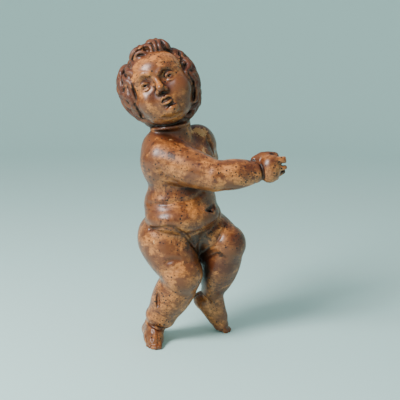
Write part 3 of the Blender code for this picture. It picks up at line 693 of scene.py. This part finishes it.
def feel(distance):
    """How far the form stands open (1 where flat) at a distance out of or into the wood."""
    return figure([spots[i] + way[i] * distance for i in range(3)]) / distance


q = local(spots, HEAD_AT, HEAD)
masks = {
    "hollow": 1 - feel(4.0),
    "shade": 1 - feel(16.0),
    "ridge": 1 - feel(-3.5),
    "hair": (np.abs(hair(q)) < 1.5).astype(float),
}
mesh = putto.data
for name, values in masks.items():
    layer = mesh.attributes.new(name, "FLOAT", "POINT")
    layer.data.foreach_set("value", np.clip(values, 0, 1))

co = co * UNIT
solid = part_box("putto_figure")
middle = [(solid[0][i] + solid[1][i]) / 2 - (co[:, i].min() + co[:, i].max()) / 2 for i in range(2)]
co[:, 0] += middle[0]
co[:, 1] += middle[1]
mesh.vertices.foreach_set("co", co.ravel())
mesh.shade_smooth()
mesh.update()
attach(putto, "root")
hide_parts("putto_figure")


# Finish: dark walnut stain over pale wood, waxed and rubbed for centuries. It is rubbed to warm tan
# where hands reach, with painted light where the window falls, stays nearly black in the hollows
# from dark wax and painted shade, is painted darker on the side turned from the window, and is
# riddled with worm holes.
def group(name, inputs, outputs):
    tree = bpy.data.node_groups.new(name, "ShaderNodeTree")
    for socket, kind, value in inputs:
        made = tree.interface.new_socket(socket, in_out="INPUT", socket_type="NodeSocket" + kind)
        if value is not None:
            made.default_value = value
    for socket, kind in outputs:
        tree.interface.new_socket(socket, in_out="OUTPUT", socket_type="NodeSocket" + kind)
    return tree, tree.nodes.new("NodeGroupInput").outputs, tree.nodes.new("NodeGroupOutput").inputs


def put(tree, kind, inputs, **settings):
    """Add a node with its settings and inputs, a value or another node's socket each."""
    node = tree.nodes.new("ShaderNode" + kind)
    for key, value in settings.items():
        setattr(node, key, value)
    for key, value in inputs.items():
        if isinstance(value, bpy.types.NodeSocket):
            tree.links.new(value, node.inputs[key])
        else:
            node.inputs[key].default_value = value
    return node


def math(tree, how, a, b=0.0, c=0.0):
    return put(tree, "Math", {0: a, 1: b, 2: c}, operation=how).outputs[0]


def ramp(tree, value, low, high, to_low=0.0, to_high=1.0):
    """Smooth step of a value from low to high."""
    return put(tree, "MapRange", {"Value": value, "From Min": low, "From Max": high, "To Min": to_low,
                                  "To Max": to_high}, interpolation_type="SMOOTHSTEP").outputs[0]


stain, given, gives = group("blotchy stain", [("Vector", "Vector", None), ("Scale", "Float", 30.0),
                                              ("Low", "Float", 0.4), ("High", "Float", 0.6)],
                            [("Mask", "Float")])
cloud = put(stain, "TexNoise", {"Vector": given["Vector"], "Scale": given["Scale"], "Detail": 8.0,
                                "Roughness": 0.66, "Distortion": 0.5})
stain.links.new(ramp(stain, cloud.outputs["Fac"], given["Low"], given["High"]), gives["Mask"])

holes, given, gives = group("worm holes", [("Vector", "Vector", None), ("Scale", "Float", 120.0),
                                           ("Radius", "Float", 0.15), ("Share", "Float", 0.2)],
                            [("Mask", "Float")])
cell = put(holes, "TexVoronoi", {"Vector": given["Vector"], "Scale": given["Scale"], "Randomness": 1.0})
near = ramp(holes, cell.outputs["Distance"], math(holes, "MULTIPLY", given["Radius"], 1.3), given["Radius"])
picked = put(holes, "SeparateColor", {"Color": cell.outputs["Color"]}).outputs["Red"]
colony = put(holes, "TexNoise", {"Vector": given["Vector"], "Scale": 26.0, "Detail": 1.0}).outputs["Fac"]
share = math(holes, "MULTIPLY", given["Share"], ramp(holes, colony, 0.36, 0.56))
few = math(holes, "LESS_THAN", picked, share)
holes.links.new(math(holes, "MULTIPLY", near, few), gives["Mask"])

patch, given, gives = group("round patch", [("Vector", "Vector", None), ("Centre", "Vector", None),
                                            ("Size", "Float", 0.01), ("Soft", "Float", 0.0006)],
                            [("Mask", "Float")])
apart = put(patch, "VectorMath", {0: given["Vector"], 1: given["Centre"]}, operation="DISTANCE")
edge = math(patch, "SUBTRACT", given["Size"], given["Soft"])
patch.links.new(ramp(patch, apart.outputs["Value"], given["Size"], edge), gives["Mask"])

wood = bpy.data.materials.new("carved_wood")
wood.use_nodes = True
tree = wood.node_tree
shader = tree.nodes["Principled BSDF"]
here = put(tree, "TexCoord", {}).outputs["Object"]
along = put(tree, "Mapping", {"Vector": here, "Scale": (0.7, 0.7, 1.2)}).outputs[0]


def mask(kind, at=None, **inputs):
    node = tree.nodes.new("ShaderNodeGroup")
    node.node_tree = kind
    tree.links.new(at or here, node.inputs["Vector"])
    for key, value in inputs.items():
        node.inputs[key].default_value = value
    return node.outputs["Mask"]


def times(*values):
    out = values[0]
    for value in values[1:]:
        out = math(tree, "MULTIPLY", out, value)
    return out


def felt(name, low=0.0, high=1.0):
    """How strongly the carved form itself asks for a colour."""
    return ramp(tree, put(tree, "Attribute", {}, attribute_name=name).outputs["Fac"], low, high)


def torn(scale, amount):
    """Places shaken about, so that what is drawn on them has ragged edges."""
    noise = put(tree, "TexNoise", {"Vector": here, "Scale": scale, "Detail": 6.0, "Roughness": 0.65})
    shift = put(tree, "VectorMath", {0: noise.outputs["Color"], 1: (0.5, 0.5, 0.5)}, operation="SUBTRACT")
    moved = put(tree, "VectorMath", {0: shift.outputs[0], 1: (amount,) * 3, 2: here},
                operation="MULTIPLY_ADD")
    return moved.outputs[0]


def patches(at, soft, *spots):
    """Patches about places given in the drawing's units, with their radius."""
    out = 0.0
    for *spot, radius in spots:
        centre = vec(*spot) * UNIT + (*middle, 0)
        out = math(tree, "MAXIMUM", out, mask(patch, at=at, Centre=centre, Size=radius * UNIT, Soft=soft))
    return out


def blend(factor, a, b, how="MIX"):
    node = put(tree, "Mix", {"Factor": factor}, data_type="RGBA", blend_type=how)
    for key, value in ((6, a), (7, b)):
        if isinstance(value, bpy.types.NodeSocket):
            tree.links.new(value, node.inputs[key])
        else:
            node.inputs[key].default_value = (*value, 1)
    return node.outputs[2]


TAN = (0.60, 0.205, 0.050)
BROWN = (0.165, 0.047, 0.013)
RED_BROWN = (0.088, 0.017, 0.005)
DARK = (0.018, 0.007, 0.004)
BARE = (0.66, 0.34, 0.14)
HOLE = (0.012, 0.006, 0.004)
HAIR_SHADE = (0.034, 0.016, 0.010)
HAIR_BROWN = (0.16, 0.046, 0.014)
HAIR_RIDGE = (0.56, 0.20, 0.060)
WAX = 0.34
finely = torn(150.0, 0.03)
broadly = torn(38.0, 0.13)

# stain rubbed through to tan where the photograph shows it, with red and dark remains between;
# part of the tan is painted light and part of the brown, red and dark is painted shade
color = blend(mask(stain, Scale=26.0, Low=0.42, High=0.64), BROWN, TAN)
# rubbed to tan, and painted light on the lit knee, thigh, belly, shoulder, cheek and brow
tan_wear_and_highlight = patches(broadly, 0.012, (-48, -59, 148, 26), (-74, -34, 80, 20), (-86, -40, 200, 24),
                               (48, -90, 335, 26), (5, -82, 349, 20), (-80, -60, 452, 22),
                               (-69, -34, 513, 24), (-14, -46, 265, 16), (-87, -53, 366, 14),
                               (-97, -24, 267, 14), (40, -28, 198, 18), (26, -13, 133, 14),
                               (10, 32, 58, 14), (-49, -50, 268, 14), (-20, -68, 435, 14))
color = blend(times(tan_wear_and_highlight, 0.8), color, TAN)
# browner stain, and painted shade on the right leg, side belly and right cheek turned from the window
browned_and_shaded = patches(broadly, 0.016, (63, -27, 203, 34), (73, -24, 180, 34), (59, -21, 160, 34),
                                  (43, -15, 133, 30), (47, 0, 110, 28), (32, 5, 92, 26),
                                  (-93, -28, 262, 34), (-101, -27, 376, 34), (-92, -50, 345, 26),
                                  (9, -20, 285, 26), (16, -22, 240, 24), (-14, -33, 486, 24),
                                  (-6, -30, 458, 24), (-7, -45, 150, 26), (-95, -10, 404, 26),
                                  (-14, -50, 380, 24), (-96, -22, 30, 20), (24, 6, 55, 18),
                                  (-40, -62, 300, 24), (-90, -40, 232, 22))
color = blend(times(browned_and_shaded, 0.85), color, BROWN)
color = blend(times(mask(stain, at=along, Scale=190.0, Low=0.47, High=0.58), 0.55), color, BROWN)
# red-brown stain, and painted shade on the shaded right leg, under the breast and under the arm
dyed_and_shaded = patches(broadly, 0.014, (-41, -46, 390, 26), (-11, -40, 180, 26), (-40, -50, 222, 20),
                               (-10, -50, 232, 20), (47, -14, 224, 20), (50, -18, 145, 26),
                               (30, -22, 250, 18), (9, 8, 378, 20), (-90, -24, 300, 24),
                               (-105, -10, 16, 18), (-60, -46, 290, 25), (-27, -42, 294, 22),
                               (-22, -50, 462, 16), (-60, -20, 250, 18), (22, -15, 155, 20),
                               (-60, -62, 340, 17), (70, -24, 196, 22), (38, 0, 104, 22))
color = blend(times(dyed_and_shaded, 0.8), color, RED_BROWN)
color = blend(times(mask(stain, Scale=24.0, Low=0.54, High=0.64), 0.5), color, RED_BROWN)
color = blend(times(mask(stain, at=along, Scale=80.0, Low=0.55, High=0.62), 0.6), color, RED_BROWN)
color = blend(times(mask(stain, Scale=140.0, Low=0.60, High=0.66), 0.6), color, DARK)
color = blend(times(felt("ridge", 0.2, 0.8), 0.5), color, TAN)
# painted shade: red-brown, then nearly black, in the deep places between and under the forms
color = blend(times(felt("shade", 0.16, 0.55), 0.75), color, RED_BROWN)
color = blend(times(felt("shade", 0.45, 1.0), 0.8), color, DARK)
# dark wax and painted shade in the creases
color = blend(times(felt("hollow", 0.18, 0.7), 0.85), color, DARK)
# painted shade between the legs and in the groin
painted_shade_between_legs = patches(broadly, 0.014, (-6, -22, 196, 24), (0, -8, 172, 24), (4, -28, 214, 20),
                                (8, -4, 152, 22), (8, 0, 129, 20), (2, -18, 186, 26))
color = blend(times(painted_shade_between_legs, 0.8), color, DARK)
# painted shade in the eye sockets beside the nose and under the nose
socket_shade = patches(finely, 0.004, (-109, -54, 484, 9), (-97, -55, 493, 9), (-85, -58, 488, 10),
                                 (-84, -51, 498, 10), (-72, -51, 500, 10), (-67, -41, 508, 9),
                                 (-55, -38, 511, 9), (-45, -44, 508, 9), (-67, -77, 477, 9),
                                 (-55, -61, 483, 9), (-78, -65, 463, 8))
color = blend(times(socket_shade, 0.6), color, RED_BROWN)

# the hair kept more of its stain, with rubbed edges and painted shade between the strands
lock = blend(mask(stain, Scale=50.0, Low=0.42, High=0.58), HAIR_BROWN, RED_BROWN)
lock = blend(times(felt("ridge", 0.2, 0.85), 0.85), lock, HAIR_RIDGE)
# painted shade in the deep gaps between the locks
lock = blend(times(felt("shade", 0.3, 0.9), 0.6), lock, HAIR_SHADE)
lock = blend(times(felt("hollow", 0.12, 0.6), 0.9), lock, HAIR_SHADE)
color = blend(felt("hair"), color, lock)

# flaked bare wood on the broken shoulder, dark knots on arm and wrist, dark in the open gouge in the shin
# and on the broken thumb, and painted shade on the tucked finger tip
bare = patches(finely, 0.0006, (-15, 6, 400, 8), (-4, 16, 398, 9), (6, 20, 396, 8), (6, 14, 389, 5),
                               (-14, 13, 395, 5), (7, -8, 363, 5.5), (8, -3, 368, 3.5),
                               (-84, -46, 206, 2.5))
color = blend(bare, color, BARE)
specks = patches(finely, 0.0006, (8, -46, 238, 1.4), (3, 3, 153, 1.6), (-45, -45, 420, 2.6),
                                 (-52, -40, 384, 3))
color = blend(specks, color, BARE)
knots = patches(finely, 0.002, (-52, -69, 364, 5), (-46, -71, 360, 5.5), (-50, -72, 356, 3),
                               (-38, -75, 355, 3), (-31, -78, 351, 3), (-64, -64, 369, 5),
                               (-84, -49, 379, 4), (36, -25, 178, 6))
color = blend(times(knots, 0.8), color, DARK)
wrist = patches(finely, 0.004, (84, -82, 340, 12), (78, -84, 345, 8), (88, -78, 330, 9))
color = blend(times(wrist, 0.85), color, RED_BROWN)
# dark on the broken thumb end and inside the shin gouge, painted shade on the tucked finger tip
broken = patches(finely, 0.003, (127, -58, 366, 8), (-78, -33, 83, 6), (-78, -35, 91, 8),
                                (-77, -36, 99, 6), (146, -53, 332, 8))
color = blend(times(broken, 0.85), color, DARK)

pits = math(tree, "MAXIMUM", mask(holes, Scale=110.0, Radius=0.16, Share=0.9),
            mask(holes, Scale=210.0, Radius=0.2, Share=0.7))
pits = times(pits, math(tree, "SUBTRACT", 1.0, felt("hair")))
color = blend(pits, color, HOLE)
tree.links.new(color, shader.inputs["Base Color"])
rough = ramp(tree, mask(stain, Scale=45.0, Low=0.3, High=0.7), 0.0, 1.0, 0.30, 0.46)
rough = math(tree, "MAXIMUM", rough, times(math(tree, "MAXIMUM", bare, felt("hair")), 0.55))
tree.links.new(rough, shader.inputs["Roughness"])
unwaxed = math(tree, "MAXIMUM", bare, felt("hollow", 0.1, 0.6))
tree.links.new(math(tree, "SUBTRACT", WAX, times(unwaxed, WAX - 0.01)), shader.inputs["Coat Weight"])
shader.inputs["Coat Roughness"].default_value = 0.24
shader.inputs["Specular IOR Level"].default_value = 0.32
grain_at = put(tree, "Mapping", {"Vector": here, "Scale": (260.0, 260.0, 30.0)}).outputs[0]
grain = put(tree, "TexNoise", {"Vector": grain_at, "Scale": 1.0, "Detail": 3.0}).outputs["Fac"]
wear = put(tree, "TexNoise", {"Vector": here, "Scale": 140.0, "Detail": 5.0}).outputs["Fac"]
height = math(tree, "ADD", times(grain, 0.15), times(wear, 0.35))
height = math(tree, "SUBTRACT", height, times(pits, 1.5))
height = math(tree, "SUBTRACT", height, times(bare, 0.35))
bump = put(tree, "Bump", {"Height": height, "Strength": 0.5, "Distance": 0.001})
tree.links.new(bump.outputs["Normal"], shader.inputs["Normal"])
putto.data.materials.clear()
putto.data.materials.append(wood)


# Studio: a plain pale sheet that curves up all round, one large soft window light high on the
# left, a weak fill from the right and a pale sky. Nothing of it belongs to the figure.
turns = np.linspace(0, np.pi / 2, 16)
rim = [(2.6 + 1.6 * np.sin(a), 1.6 - 1.6 * np.cos(a)) for a in turns]
rings = [(0.5, 0.0), (1.5, 0.0)] + rim + [(4.2, 2.6)]
AROUND = 128
round_about = np.linspace(0, 2 * np.pi, AROUND, endpoint=False)
sheet = [(0.0, 0.0, 0.0)] + [(r * np.sin(a), r * np.cos(a), z) for r, z in rings for a in round_about]
fan = [(0, 1 + (i + 1) % AROUND, 1 + i) for i in range(AROUND)]
strips = [(1 + j * AROUND + i, 1 + j * AROUND + (i + 1) % AROUND,
           1 + (j + 1) * AROUND + (i + 1) % AROUND, 1 + (j + 1) * AROUND + i)
          for j in range(len(rings) - 1) for i in range(AROUND)]
floor = bpy.data.objects.new("studio_floor", bpy.data.meshes.new("studio_floor"))
floor.data.from_pydata(sheet, [], fan + strips)
floor.data.shade_smooth()
bpy.context.scene.collection.objects.link(floor)
paper = bpy.data.materials.new("pale_paper")
paper.use_nodes = True
paper.node_tree.nodes["Principled BSDF"].inputs["Base Color"].default_value = (0.62, 0.88, 0.83, 1)
paper.node_tree.nodes["Principled BSDF"].inputs["Roughness"].default_value = 0.95
floor.data.materials.append(paper)

world = bpy.data.worlds.new("pale_room")
bpy.context.scene.world = world
world.use_nodes = True
world.node_tree.nodes["Background"].inputs["Color"].default_value = (0.92, 0.92, 0.96, 1)
world.node_tree.nodes["Background"].inputs["Strength"].default_value = 0.5


def soft_light(name, at, towards, size, power, tint):
    data = bpy.data.lights.new(name, "AREA")
    data.shape = "RECTANGLE"
    data.size, data.size_y = size
    data.energy = power
    data.color = tint
    lamp = bpy.data.objects.new(name, data)
    bpy.context.scene.collection.objects.link(lamp)
    lamp.location = at
    aim = Vector(towards) - Vector(at)
    lamp.rotation_euler = aim.to_track_quat("-Z", "Y").to_euler()


soft_light("window", (-1.35, -1.2, 1.65), (-0.04, 0, 0.3), (0.8, 1.1), 84, (0.96, 0.98, 1.0))
soft_light("fill", (1.8, -1.6, 0.9), (0, 0, 0.3), (1.5, 1.5), 1, (0.95, 1.0, 0.98))

CAMERA_BACK = 1450
CAMERA_UP = 560
LOOKS_DOWN = 11.26
camera = bpy.data.cameras.new("camera")
camera.lens = 72.78
camera.sensor_width = 36.0
seen_from = bpy.data.objects.new("camera", camera)
bpy.context.scene.collection.objects.link(seen_from)
seen_from.location = (middle[0], middle[1] - CAMERA_BACK * UNIT, CAMERA_UP * UNIT)
seen_from.rotation_euler = (np.radians(90 - LOOKS_DOWN), 0, 0)
bpy.context.scene.camera = seen_from
